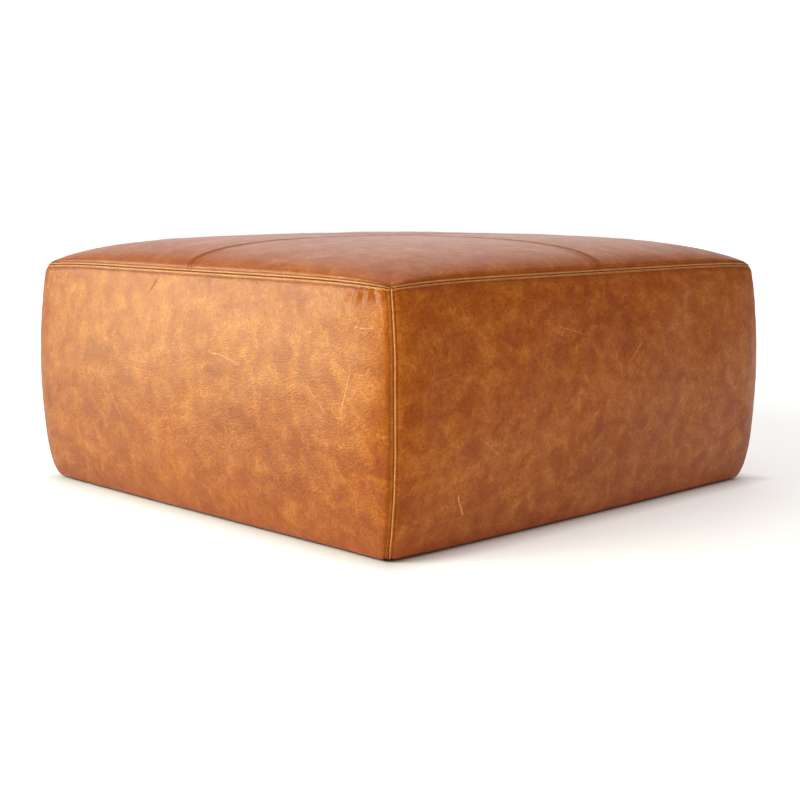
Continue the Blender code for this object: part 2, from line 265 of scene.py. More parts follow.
def slab_faces(rows, columns):
    """The quads of an outer grid, an inner grid and the rim between them, in that order."""
    i, j = np.meshgrid(np.arange(rows - 1), np.arange(columns - 1), indexing="ij")
    a = (i * columns + j).ravel()
    b = a + columns
    count = rows * columns
    outer = np.stack([a, b, b + 1, a + 1], axis=1)
    inner = np.stack([a, a + 1, b + 1, b], axis=1) + count
    rim = np.concatenate([np.arange(columns), np.arange(1, rows) * columns + columns - 1,
                          (rows - 1) * columns + np.arange(columns - 2, -1, -1),
                          np.arange(rows - 2, 0, -1) * columns])
    after = np.roll(rim, -1)
    edge = np.stack([rim, after, after + count, rim + count], axis=1)
    return outer, inner, edge


def slab(name, outer, inner, materials):
    """A closed piece between two grids. The last material is for its inner side."""
    rows, columns = outer.shape[:2]
    parts = slab_faces(rows, columns)
    points = np.concatenate([outer.reshape(-1, 3), inner.reshape(-1, 3)])
    indices = np.repeat([0, len(materials) - 1, 0], [len(p) for p in parts])
    return new_object(name, points, np.concatenate(parts), materials, indices=indices)


def add_attribute(obj, name, values):
    """Stores a value for each point of a mesh, for its material to read."""
    values = np.asarray(values, np.float32)
    if values.ndim == 1:
        obj.data.attributes.new(name, "FLOAT", "POINT").data.foreach_set("value", values)
    else:
        obj.data.attributes.new(name, "FLOAT_VECTOR", "POINT").data.foreach_set("vector", values.ravel())


# ---------------------------------------------------------------- the push of the padding, simulated


def closed_cover(across):
    """The whole cover as one coarse closed mesh: points, faces and the points held by seams and frame."""
    s = np.linspace(-1, 1, 2 * across - 1)
    heights = np.linspace(SEAM_HEIGHT, PROXY_FOOT, across)
    face = side_grid(s, heights)
    u, v = np.meshgrid(s[across - 1:], -s[across - 1:][::-1], indexing="ij")
    quarter = top_surface(u, v)
    grids = [quarter_turn(grid, turns) for grid in (face, quarter) for turns in range(4)]
    points, faces, held, start_at = [], [], [], 0
    for grid in grids:
        rows, columns = grid.shape[:2]
        faces.append(slab_faces(rows, columns)[0] + start_at)
        edge = np.zeros((rows, columns), bool)
        edge[[0, -1]] = True
        edge[:, [0, -1]] = True
        held.append(edge.ravel())
        points.append(grid.reshape(-1, 3))
        start_at += rows * columns
    points, faces, held = np.concatenate(points), np.concatenate(faces), np.concatenate(held)
    _, first, joined = np.unique(np.round(points, 5), axis=0, return_index=True, return_inverse=True)
    joined = joined.ravel()
    return points, points[first], joined[faces], held[first], joined, grids


def simulated_push(across=48, frames=16):
    """Cloth pressed out by the padding and held at its seams: how far each panel moves out, on its own grid.
    """
    points, merged, faces, held, joined, grids = closed_cover(across)
    lid = len(merged)
    low = merged[:, 2] < PROXY_FOOT + 0.001
    order = np.argsort(np.arctan2(merged[low, 1], merged[low, 0]))
    ring = np.flatnonzero(low)[order]
    quads = faces.tolist() + [(int(b), int(a), lid) for a, b in zip(ring, np.roll(ring, -1))]
    proxy = new_object("cover_cloth", np.concatenate([merged, [[0, 0, PROXY_FOOT]]]), quads, [])
    holding = proxy.vertex_groups.new(name="held")
    holding.add(np.flatnonzero(held).tolist() + [lid], 1.0, "REPLACE")
    holding.add(np.flatnonzero(~held).tolist(), 0.02, "REPLACE")
    spare = proxy.vertex_groups.new(name="spare")
    looseness = eased(0.5 + 0.5 * waves(merged, 77, 0.30))
    for index, value in enumerate(looseness.tolist()):
        spare.add([index], value, "REPLACE")
    cloth = proxy.modifiers.new("cloth", "CLOTH")
    settings = cloth.settings
    settings.quality = 5
    settings.mass = 0.9
    settings.tension_stiffness = settings.compression_stiffness = 30
    settings.shear_stiffness = 15
    settings.bending_stiffness = 2.0
    settings.air_damping = 5
    settings.effector_weights.gravity = 0
    settings.vertex_group_mass = "held"
    settings.pin_stiffness = 1.0
    settings.use_pressure = True
    settings.uniform_pressure_force = 4
    settings.vertex_group_shrink = "spare"
    settings.shrink_min = -0.004
    settings.shrink_max = -0.014
    cloth.collision_settings.use_collision = False
    cloth.point_cache.frame_start, cloth.point_cache.frame_end = 1, frames
    scene = bpy.context.scene
    for number in range(1, frames + 1):
        scene.frame_set(number)
    shaped = proxy.evaluated_get(bpy.context.evaluated_depsgraph_get())
    moved = np.empty(len(shaped.data.vertices) * 3, np.float32)
    shaped.data.vertices.foreach_get("co", moved)
    scene.frame_set(1)
    bpy.data.objects.remove(proxy)
    shift = (moved.reshape(-1, 3)[:-1] - merged)[joined]
    pushes, start_at = [], 0
    for grid in grids:
        count = grid.shape[0] * grid.shape[1]
        out = np.sum(shift[start_at:start_at + count].reshape(grid.shape) * normals(grid), axis=-1)
        pushes.append(out)
        start_at += count
    return pushes


def blurred(values, width):
    """Values on an even grid, softened over a number of its steps."""
    reach = int(math.ceil(3 * width))
    kernel = np.exp(-0.5 * (np.arange(-reach, reach + 1) / width) ** 2)
    kernel /= kernel.sum()
    for axis in (0, 1):
        ends = [(reach, reach) if axis == k else (0, 0) for k in (0, 1)]
        padded = np.pad(values, ends, mode="edge")
        values = np.apply_along_axis(np.convolve, axis, padded, kernel, mode="valid")
    return values


def sampled(values, rows_at, columns_at, rows, columns):
    """A grid's values at the rows and columns of another."""
    wide = np.stack([np.interp(columns, columns_at, line) for line in values])
    return np.stack([np.interp(rows, rows_at, line) for line in wide.T], axis=1)


def drawn_folds(push, rows, columns):
    """The fine folds in a simulated push, for rows and columns given as fractions of its grid."""
    if push is None:
        return np.zeros((len(rows), len(columns)))
    folds = blurred(push, 0.9) - blurred(push, 5.0)
    finer = [np.linspace(0, 1, 4 * count) for count in folds.shape]
    even = [np.linspace(0, 1, count) for count in folds.shape]
    folds = blurred(sampled(folds, *even, *finer), 2.2)
    return FOLD_CAP * np.tanh(FOLD_SHARE * sampled(folds, *finer, rows, columns) / FOLD_CAP)


# ---------------------------------------------------------------- working the leather


def seam_profile(away, puff=1.0, lip=0.0):
    """Height of the leather over its plain form, at a distance from a seam. A lip stands proud of it."""
    turn = np.clip(1 - away / EDGE_ROLL, 0, 1)
    rolled = -EDGE_ROLL * (1 - np.sqrt(1 - turn * turn))
    wall = -EDGE_DEEP * np.clip(1 - away / FINE_START, 0, 1)
    ridge = (0.00035 + lip) * bump((away - 0.0022) / 0.0014)
    dent = -0.00062 * bump((away - STITCH_AT) / 0.0015)
    swell = 0.00062 * puff * bump((away - 0.0108) / 0.0050)
    sunk = -0.0010 * np.exp(-away / 0.016)
    return rolled + wall + ridge + dent + swell + sunk


def puckers(along, away, seed, spacing, strength):
    """Short soft folds that leave a seam at right angles, gathered there by its stitches."""
    source = np.random.default_rng(seed)
    total = np.zeros_like(away)
    for _ in range(max(1, int(along.max() / spacing))):
        place = source.uniform(0, along.max())
        wide, long = source.uniform(0.004, 0.009), source.uniform(0.014, 0.034)
        lean, high = source.uniform(-0.5, 0.5), source.uniform(-1.0, 0.7) * strength
        rise = np.clip((away - 0.003) / 0.006, 0, 1) * np.exp(-np.maximum(away - 0.008, 0) / long)
        total += high * rise * bump((along - place - lean * away) / wide)
    return total


def foam_swell(points, seed=3):
    """The uneven fill behind the leather."""
    return 0.0011 * waves(points, seed, 0.21) + 0.00042 * waves(points, seed + 1, 0.085) \
        + 0.00012 * waves(points, seed + 2, 0.034)


def drag_lines(points, seed, direction, strength=0.00035):
    """Faint pulled lines in one direction, here and there."""
    along = np.array(direction, float) / np.linalg.norm(direction)
    spread = points - 0.86 * np.outer(points @ along, along).reshape(points.shape)
    patches = np.clip(waves(points, seed + 1, 0.26), 0, 1.4)
    return strength * waves(spread, seed, 0.030, count=10) * patches


# How far the front corner's seam strays to the right of straight, at each height.
FRONT_SWAY = ((0.0, -0.0052), (0.012, -0.0032), (0.045, 0.0002), (0.10, 0.0040), (0.16, 0.0056),
              (0.30, 0.0052), (0.36, 0.0022), (0.39, 0.0))


def sway(points):
    """Moves the leather sideways near the four upright seams, which are not quite straight."""
    moved = points.copy()
    for corner, turns in CORNERS.items():
        local = quarter_turn(points, -turns)
        near = bump(np.hypot(local[..., 0] - SEAM_HALF, local[..., 1] + SEAM_HALF) / 0.075)
        heights, shifts = np.array(FRONT_SWAY).T
        if corner != "front_right":
            source = np.random.default_rng(60 + turns)
            shifts = 0.0026 * source.uniform(0.5, 1) * np.sin(heights * 11 + source.uniform(0, 6))
            shifts[-2:] *= (0.4, 0)
        amount = near * np.interp(local[..., 2], heights, shifts)
        moved += quarter_turn(amount[..., None] * np.array([math.sqrt(0.5), math.sqrt(0.5), 0]), turns)
    return moved


def opened_foot(grid, facing, along_left, along_right, height):
    """At the floor the two panels of a corner draw apart and tuck under, as two round lobes."""
    low = np.clip(1 - (height - LOWEST) / 0.024, 0, 1) ** 2
    tangent = unit(np.gradient(grid, axis=1))
    for away, sign in ((along_left, 1), (along_right, -1)):
        grid = grid + (sign * 0.0020 * low * bump(away / 0.012))[..., None] * tangent
        grid = grid - (0.0018 * low * bump(away / 0.007))[..., None] * facing
    return grid


def side_base():
    """The plain front face as a grid, from the top seam down, under the frame and to its raw edge."""
    s_dense = np.linspace(-1, 1, 6001)
    middle = side_surface(s_dense, np.full_like(s_dense, 0.2))
    s = at_places(middle, s_dense, SEAM_CLEAR + between_seams(lengths(middle, 0)[-1] - 2 * SEAM_CLEAR))
    down = SEAM_HEIGHT - SEAM_CLEAR - from_seam(SEAM_HEIGHT - SEAM_CLEAR - (LOWEST + ROLL_HEIGHT))
    turn = np.linspace(math.pi / 2, 0, 22)[1:]
    face = side_grid(s, np.concatenate([down, roll_levels(turn)]))
    under = []
    for share in np.linspace(0, 1, 12)[1:]:
        out = BOARD_OUT + (FRAME_HALF - FLANGE - BOARD_OUT) * max(0, (share - TUCK) / (1 - TUCK))
        level = np.full_like(s, DUST_HIGH.z + GAP)
        flat = np.stack([s * (out - MITRE), np.full_like(s, -out), level], axis=-1)
        blend = min(1, share / TUCK)
        sag = np.array([0, 0, 0.0006]) * math.sin(math.pi * blend)
        under.append(face[-1] + (flat - face[-1]) * blend - sag)
    grid = np.concatenate([face, np.array(under)])
    return grid, side_facing(grid)


def top_base():
    """The plain front right quarter of the top as a grid, rows from the middle to the right."""
    dense = 1 - (1 - np.linspace(0, 1, 6001)) ** 3
    line = top_surface(dense, np.full_like(dense, -0.3))
    places = SEAM_CLEAR + between_seams(lengths(line, 0)[-1] - 2 * SEAM_CLEAR)
    w = at_places(line, dense, places)
    u, v = np.meshgrid(w, -w[::-1], indexing="ij")
    grid = top_surface(u, v)
    return grid, normals(grid)


def fold(points, at, direction, long, wide, high):
    """One soft crease on the front face, at a place and in a direction seen square on (X and Z)."""
    along = unit(np.array(direction, float))
    offset = points[..., [0, 2]] - np.array(at)
    run = offset @ along
    across = offset[..., 0] * along[1] - offset[..., 1] * along[0]
    return high * bump(across / wide) * bump(run / long)


# Creases on the front face: where, along what direction, how long, how wide and how high.
FRONT_FOLDS = (((0.384, 0.374), (-0.30, -1), 0.014, 0.0060, -0.0022),
               ((0.395, 0.376), (-0.20, -1), 0.013, 0.0045, 0.0018),
               ((0.407, 0.378), (-0.05, -1), 0.012, 0.0048, -0.0030),
               ((0.417, 0.380), (0.15, -1), 0.010, 0.0040, 0.0018),
               ((0.428, 0.381), (0.45, -1), 0.010, 0.0042, -0.0028),
               ((0.438, 0.378), (0.65, -1), 0.010, 0.0040, 0.0014),
               ((0.352, 0.350), (-1, -0.4), 0.045, 0.0180, 0.0014),
               ((-0.093, 0.372), (-0.75, -1), 0.015, 0.0042, -0.0022),
               ((-0.083, 0.370), (-0.75, -1), 0.017, 0.0065, 0.0012))


def finish_panel(name, grid, flat, seam, lip, materials):
    """Gives worked leather its thickness and its place in the frame."""
    grid = sway(grid)
    inner = grid - LEATHER * normals(grid)
    made = slab(f"panel_{name}", grid, inner, materials)
    add_attribute(made, "flat", np.tile(flat.reshape(-1, 3), (2, 1)))
    add_attribute(made, "seam", np.tile(seam.ravel(), 2))
    # The lip values pale the seam edges: rubbed colour, and a painted highlight.
    add_attribute(made, "lip", np.tile(np.clip(lip, 0, 1).ravel(), 2))
    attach(made, "root")
    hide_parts(name)
    return grid


def line_beside(grid, away, distance):
    """The line on a worked grid that runs at a distance from the seam at its first row."""
    index = np.argmax(away > distance, axis=0)
    columns = np.arange(grid.shape[1])
    low = away[index - 1, columns]
    share = ((distance - low) / (away[index, columns] - low))[:, None]
    return grid[index - 1, columns] * (1 - share) + grid[index, columns] * share


def stitch_line(grid, facing, away, ends):
    """A row of stitches beside the seam at the first row: its line and normals, between the end seams."""
    line = line_beside(grid, away, STITCH_AT)
    up = unit(line_beside(facing, away, STITCH_AT))
    keep = np.ones(len(line), bool)
    for end in ends:
        keep &= line_beside(end[..., None], away, STITCH_AT)[:, 0] > STITCH_AT
    return line[keep], up[keep]


def seam_row(worked, away, ends, turned=False, flipped=False):
    """The row of stitches beside one seam of a panel. Turned swaps rows and columns, and flipped starts
    from the last row instead of the first.
    """
    grids = [worked, normals(worked), away, *ends]
    if turned:
        grids = [grid.swapaxes(0, 1) for grid in grids]
    if flipped:
        grids = [grid[::-1] for grid in grids]
    return stitch_line(*grids[:3], grids[3:])


def stitches(name, rows, finish):
    """Rows of thread, each stitch a short rounded bar that dips into the leather at both ends."""
    shape = np.array([-1, -0.9, -0.62, 0, 0.62, 0.9, 1])
    sides = np.arange(6) * math.pi / 3
    points = []
    for line, up in rows:
        along = lengths(line, 0)
        count = int(along[-1] / STITCH_PITCH)
        places = (np.arange(count) + 0.5) * along[-1] / count
        centre = np.stack([np.interp(places, along, line[:, k]) for k in range(3)], axis=1)
        lift = unit(np.stack([np.interp(places, along, up[:, k]) for k in range(3)], axis=1))
        ahead = np.stack([np.interp(places + 0.001, along, line[:, k]) for k in range(3)], axis=1)
        behind = np.stack([np.interp(places - 0.001, along, line[:, k]) for k in range(3)], axis=1)
        run = unit(ahead - behind)
        across = unit(np.cross(lift, run))
        run = unit(run + across * random.normal(0, 0.06, (count, 1)))
        across = unit(np.cross(lift, run))
        radius = THREAD * np.sqrt(np.maximum(1 - shape ** 4, 0.05))
        rise = 0.00022 - 0.0009 * np.abs(shape) ** 3.5
        middle = centre[:, None] + run[:, None] * (shape * STITCH_LONG / 2)[None, :, None] \
            + lift[:, None] * rise[None, :, None]
        ring = np.cos(sides)[None, None, :, None] * across[:, None, None] \
            + np.sin(sides)[None, None, :, None] * lift[:, None, None]
        points.append((middle[:, :, None] + ring * radius[None, :, None, None]).reshape(-1, 3))
    points = np.concatenate(points)
    rings, around = len(shape), len(sides)
    each = rings * around
    quads = np.array([[r * around + k, r * around + (k + 1) % around, (r + 1) * around + (k + 1) % around,
                       (r + 1) * around + k] for r in range(rings - 1) for k in range(around)])
    starts = np.arange(len(points) // each) * each
    faces = (starts[:, None, None] + quads[None]).reshape(-1, 4).tolist()
    for start in starts.tolist():
        faces.append(tuple(range(start + around - 1, start - 1, -1)))
        faces.append(tuple(range(start + each - around, start + each)))
    made = new_object(name, points, faces, [finish])
    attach(made, "root")
    return made


def lip_wear_and_highlight(away):
    """How far a seam's turned edge is paled, 0 to 1: colour rubbed off there, and a painted highlight."""
    return bump((away - 0.0018) / 0.0010)


def leather_side(side, turns, push, materials):
    """One side of the cover. Returns what its seams need for their stitches."""
    grid, facing = side_base()
    left = lengths(grid, 1)
    right = left[:, -1:] - left
    down = lengths(grid, 0)
    place = quarter_turn(grid, turns)
    height = grid[..., 2]
    raised = seam_profile(down, lip=0.0002) + seam_profile(left, lip=0.0008)
    raised += seam_profile(right, lip=-0.0003)
    raised = np.maximum(raised, SEAM_FLOOR)
    raised += puckers(left, down, 20 + turns, 0.055, 0.00050)
    ends = bump(left / 0.085) + bump(right / 0.085)
    raised += puckers(left, down, 40 + turns, 0.012, 0.00085) * ends
    raised += puckers(down, left, 70 + turns, 0.050, 0.00045)
    raised += puckers(down, right, 80 + turns, 0.050, 0.00045)
    calm = eased(down / CALM) * eased(left / CALM) * eased(right / CALM)
    level = np.clip((SEAM_HEIGHT - height[:, 0]) / (SEAM_HEIGHT - PROXY_FOOT), 0, 1)
    folds = drawn_folds(push, level, left[0] / left[0, -1])
    folds = folds * eased(down / 0.012) * eased(left / CALM) * eased(right / CALM)
    raised += (foam_swell(place) * calm + folds) * eased((height - LOWEST) / (3 * CALM))
    if side == "front":
        for at, direction, long, wide, high in FRONT_FOLDS:
            raised += fold(grid, at, direction, long, wide, high)
    worked = grid + raised[..., None] * facing
    worked = opened_foot(worked, facing, left, right, height)
    worked = quarter_turn(worked, turns)
    flat = np.stack([left - left[:, -1:] / 2, -down, np.full_like(down, side_offset(turns))], axis=-1)
    # The top seam's and the left seam's turned edges pale: rubbed colour, and a painted highlight where they
    # face the lights at the left.
    lip = 0.9 * lip_wear_and_highlight(down) + 1.0 * lip_wear_and_highlight(left)
    worked = finish_panel(f"leather_side_{side}", worked, flat, np.minimum.reduce((down, left, right)), lip,
                          materials)
    return (seam_row(worked, down, (left, right)), seam_row(worked, left, (down,), turned=True),
            seam_row(worked, right, (down,), turned=True, flipped=True))


def leather_top(corner, turns, push, materials):
    """A quarter of the top, made for the front right corner and turned. Returns what its seams need."""
    grid, facing = top_base()
    inner_x, inner_y = lengths(grid, 0), lengths(grid, 1)
    edge_x = inner_x[-1:] - inner_x
    edge_y = inner_y
    inner_y = edge_y[:, -1:] - edge_y
    place = quarter_turn(grid, turns)
    raised = seam_profile(edge_x) + seam_profile(edge_y)
    raised += seam_profile(inner_x, 1.5) + seam_profile(inner_y, 1.5)
    raised = np.maximum(raised, SEAM_FLOOR)
    for along, away, seed, spacing in ((edge_y, edge_x, 120, 0.050), (inner_x, edge_y, 130, 0.050),
                                       (inner_y, inner_x, 140, 0.040), (inner_x, inner_y, 150, 0.040)):
        raised += puckers(along, away, seed + turns, spacing, 0.0006)
    calm = eased(edge_x / CALM) * eased(edge_y / CALM) * eased(inner_x / CALM) * eased(inner_y / CALM)
    folds = drawn_folds(push, inner_x[:, 0] / inner_x[-1, 0], edge_y[0] / edge_y[0, -1])
    swell = 0.4 * (foam_swell(place, 9) + folds) + drag_lines(place, 17, (1, -0.45, 0), 0.00015)
    raised += swell * calm
    worked = quarter_turn(grid + raised[..., None] * facing, turns)
    flat = np.stack([inner_x, -inner_y, np.full_like(inner_x, TOP_OFFSET + 3.1 * turns)], axis=-1)
    # The outer seams' turned edges pale: rubbed colour, and a painted highlight where they catch the light.
    lip = 0.8 * (lip_wear_and_highlight(edge_x) + lip_wear_and_highlight(edge_y))
    nearest = np.minimum.reduce((edge_x, edge_y, inner_x, inner_y))
    worked = finish_panel(f"leather_top_{corner}", worked, flat, nearest, lip, materials)
    return (seam_row(worked, edge_y, (edge_x, inner_x), turned=True),
            seam_row(worked, edge_x, (edge_y, inner_y), flipped=True),
            seam_row(worked, inner_y, (edge_x, inner_x), turned=True, flipped=True),
            seam_row(worked, inner_x, (edge_y, inner_y)))


# ---------------------------------------------------------------- inside


STRAPS = 5                # each way
STRAP_PITCH = 0.140
STRAP_HALF = 0.00058      # half a strap's thickness
STRAP_ROUND = 0.0012      # its edges are rounded over this width
WEAVE_CLEAR = 0.00002     # crossing straps stay this clear of each other
WEAVE_REACH = 0.057       # a strap starts to rise this far from the middle of one that it crosses
WEAVE_SLOPE = 0.026       # and is up after this far
DUST_HEM = 0.016
DUST_SAG = 0.0016
BATTING_BELOW = LEATHER + 0.0085    # the batting's lower face is this far below the cover's surface
FOAM_BELOW = LEATHER + 0.0095
FOAM_INSIDE = LEATHER + 0.0055      # the block's walls are this far inside the cover's sides


def keep(made, slot_name, *nodes):
    """Puts a finished inner piece in the place of its CAD solids."""
    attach(made, "root")
    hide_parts(*nodes)
    return made


def drawn_in(*distances):
    """How far the padding keeps back from the seams, whose turned edges take up room there."""
    near = np.minimum.reduce(distances)
    return 0.0052 * bump(near / 0.011)


def even_steps(count):
    """Fractions from -1 to 1, closer together towards the ends."""
    return np.sin(np.linspace(-1, 1, count) * math.pi / 2)


def side_pad(side, turns, finish):
    """The foam on a side board, its face swollen as the leather over it is."""
    s = even_steps(150) * (1 - 0.004 / SEAM_HALF)
    turn = np.linspace(0.12, math.pi / 2, 14)
    roll = roll_levels(turn)
    levels = np.concatenate([np.linspace(PAD_TOP - GAP, roll[-1], 48)[:-1], roll[::-1]])
    face = side_grid(s, levels)
    facing = side_facing(face)
    left = lengths(face, 1)
    right = left[:, -1:] - left
    place = quarter_turn(face, turns)
    calm = eased((face[..., 2] - LOWEST) / CALM)
    depth = LEATHER + 0.0009 + drawn_in(left, right) * 1.4 - np.minimum(foam_swell(place), 0) * calm
    low = np.clip(1 - (face[..., 2] - LOWEST) / 0.03, 0, 1)
    outer = face - (depth + 0.0035 * low + 0.0025)[..., None] * facing
    outer[..., 2] = np.maximum(outer[..., 2], FRAME_BOTTOM - 0.0006)
    outer += 0.00025 * waves(outer, 210 + turns, 0.009)[..., None] * facing
    back = outer.copy()
    back[..., 0] = s * (BOARD_OUT + GAP - 0.0012)
    back[..., 1] = -(BOARD_OUT + GAP)
    outer[..., 1] = np.minimum(outer[..., 1], back[..., 1] - 0.0008)
    made = slab(f"side_pad_{side}", quarter_turn(outer, turns), quarter_turn(back, turns), [finish])
    keep(made, "foam", f"side_foam_{side}")


def under_top(steps, depth):
    """A grid under the leather top, at a depth below its swollen surface, and drawn in at the seams."""
    u, v = np.meshgrid(steps, steps, indexing="ij")
    grid = top_surface(u, v)
    facing = normals(grid)
    along_x, along_y = lengths(grid, 0), lengths(grid, 1)
    edges = (along_x, along_x[-1:] - along_x, along_y, along_y[:, -1:] - along_y)
    calm = eased(np.minimum.reduce(edges) / CALM)
    crossing = (np.abs(grid[..., 0]), np.abs(grid[..., 1]))
    lower = depth + drawn_in(*edges) + drawn_in(*crossing) - np.minimum(foam_swell(grid, 9), 0) * calm
    lower = lower + 0.0012
    shrink = 1 - (depth + 0.002) / SEAM_HALF
    return grid * [shrink, shrink, 1] - lower[..., None] * np.array([0, 0, 1.0])


def batting(finish):
    """The fibre layer over the seat foam: it reaches to the edge seam and thins out there."""
    upper = under_top(even_steps(150), LEATHER)
    tufts = 0.00045 * waves(upper, 301, 0.013) + 0.0004 * waves(upper, 302, 0.030)
    upper[..., 2] += np.minimum(tufts, 0.0004)
    lower = under_top(even_steps(150), BATTING_BELOW)
    made = slab("batting_layer", upper, lower, [finish])
    keep(made, "batting", "top_batting")


def seat_foam(finish):
    """The foam block, crowned above and flat below, its walls as full as the cover's."""
    steps = even_steps(110)
    upper = under_top(steps, FOAM_BELOW)
    count = len(steps)
    edge = list(range(count))
    ring = [(0, j) for j in edge] + [(i, count - 1) for i in edge[1:]]
    ring += [(count - 1, j) for j in edge[-2::-1]] + [(i, 0) for i in edge[-2:0:-1]]
    rows, columns = np.array(ring).T
    u, v = steps[rows], steps[columns]
    points = [upper.reshape(-1, 3)]
    walls = []
    levels = np.linspace(SEAM_HEIGHT - 0.030, FOAM_BOTTOM, 22)
    for level in levels:
        half, bow, inset = level_sizes(level)
        x, y = level_point(u, v, half - FOAM_INSIDE, bow, inset + 0.004)
        wall = np.stack([x, y, np.full_like(x, level)], axis=-1)
        outward = unit(wall * [1, 1, 0])
        walls.append(wall + 0.0005 * waves(wall, 320, 0.02)[:, None] * outward)
    grid_u, grid_v = np.meshgrid(steps, steps, indexing="ij")
    half, bow, inset = level_sizes(FOAM_BOTTOM)
    x, y = level_point(grid_u, grid_v, half - FOAM_INSIDE, bow, inset + 0.004)
    lower = np.stack([x, y, np.full_like(x, FOAM_BOTTOM)], axis=-1)
    lower[rows, columns] = walls[-1]
    points += [np.concatenate(walls[:-1]), lower.reshape(-1, 3)]
    outer_quads, _, _ = slab_faces(count, count)
    faces = [outer_quads]
    around = len(ring)
    here = rows * count + columns
    for level in range(len(levels)):
        last = level == len(levels) - 1
        start = count * count + level * around
        there = start + (rows * count + columns if last else np.arange(around))
        faces.append(np.stack([here, there, np.roll(there, -1), np.roll(here, -1)], axis=1)[:, ::-1])
        here = there
    faces.append(outer_quads[:, ::-1] + count * count + (len(levels) - 1) * around)
    made = new_object("seat_foam_block", np.concatenate(points), np.concatenate(faces), [finish])
    keep(made, "foam", "seat_foam")


def straps(finish):
    """Woven webbing under the deck, each strap over and under those that cross it."""
    for way in ("across", "lengthwise"):
        for index in range(STRAPS):
            name = f"webbing_{way}_{index + 1}"
            low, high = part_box(name)
            along, over = (0, 1) if way == "across" else (1, 0)
            middle_z = (low.z + high.z) / 2
            wave = (high.z - low.z) / 2 - STRAP_HALF - 2 * WEAVE_CLEAR
            end = high[along]
            run = np.linspace(-end, end, 240)
            crossings = STRAP_PITCH * (np.arange(STRAPS) - (STRAPS - 1) / 2)
            height = np.full_like(run, middle_z - wave)
            for number, crossing in enumerate(crossings):
                is_over = (index + number) % 2 == int(way == "across")
                near = eased((WEAVE_REACH - np.abs(run - crossing)) / WEAVE_SLOPE)
                height += near * (2 * wave if is_over else 0.0)
            across = np.linspace(0, 1, 13)
            place = low[over] + across * (high[over] - low[over])
            edge = np.minimum(across, 1 - across) * (high[over] - low[over])
            thick = STRAP_HALF * np.sqrt(np.clip(edge / STRAP_ROUND, 0.08, 1))
            grids = []
            for sign in (1, -1):
                grid = np.zeros((len(run), len(across), 3))
                grid[..., along] = run[:, None]
                grid[..., over] = place[None, :]
                grid[..., 2] = height[:, None] + sign * thick[None, :]
                grids.append(grid if way == "across" else grid[:, ::-1])
            keep(slab(f"strap_{way}_{index + 1}", *grids, [finish]), "webbing", name)


def flat_sheet(name, node_name, slot_name, count, finish, sag, hem=0.0):
    """A sheet in its CAD solid's place, with a faint sag between its fastenings."""
    low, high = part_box(node_name)
    steps = even_steps(count)
    x, y = np.meshgrid(steps * high.x, steps * high.y, indexing="ij")
    fall = sag * (1 - steps[:, None] ** 4) * (1 - steps[None, :] ** 4)
    fall = fall * (0.75 + 0.25 * waves(np.stack([x, y, 0 * x], axis=-1), 400, 0.16, stretch=(1, 1, 0)))
    edge = np.minimum(high.x - np.abs(x), high.y - np.abs(y))
    lip = np.where(edge < hem, 0.0, 1.0)
    thick = (high.z - low.z) * (1 - 0.35 * lip)
    upper = np.stack([x, y, high.z - 0 * x - fall], axis=-1)
    lower = upper - np.array([0, 0, 1.0]) * thick[..., None]
    made = keep(slab(name, upper, lower, [finish]), slot_name, node_name)
    return made


def staples(finish):
    """Wire staples through the hem of the dust cover, into the base rails."""
    wire, crown, leg = 0.00032, 0.0100, 0.0035
    inset, pitch = 0.0060, 0.044
    low, high = DUST_LOW, DUST_HIGH
    reach = high.x - 0.046
    bend = np.linspace(0, math.pi / 2, 4)
    path = [(-crown / 2, leg)] + [(-crown / 2 + 0.0008 * (1 - math.cos(a)), 0.0008 * (1 - math.sin(a)))
                                  for a in bend]
    path += [(-x, z) for x, z in path[::-1]]
    sides = np.arange(6) * math.pi / 3
    points, faces = [], []
    for turns in range(4):
        for place in np.arange(-reach, reach + 1e-6, 2 * reach / round(2 * reach / pitch)):
            tilt = random.normal(0, 0.06)
            start = len(points)
            for index, (x, z) in enumerate(path):
                before, after = path[max(index - 1, 0)], path[min(index + 1, len(path) - 1)]
                run = np.array([after[0] - before[0], after[1] - before[1]])
                run /= np.linalg.norm(run)
                for angle in sides:
                    across, out = wire * math.cos(angle), wire * math.sin(angle)
                    local = np.array([x - run[1] * out, across, z + run[0] * out])
                    turned = np.array([local[0] * math.cos(tilt) - local[1] * math.sin(tilt),
                                       local[0] * math.sin(tilt) + local[1] * math.cos(tilt), local[2]])
                    spot = turned + [place, inset - high.x, low.z - wire - 0.00015]
                    points.append(quarter_turn(spot, turns))
            for ring in range(len(path) - 1):
                for k in range(6):
                    a, b = start + ring * 6 + k, start + ring * 6 + (k + 1) % 6
                    faces.append((a, a + 6, b + 6, b))
            faces.append(tuple(range(start, start + 6)))
            faces.append(tuple(range(start + len(path) * 6 - 1, start + len(path) * 6 - 7, -1)))
    made = new_object("dust_cover_staples", points, faces, [finish])
    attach(made, "root")


# ---------------------------------------------------------------- node materials


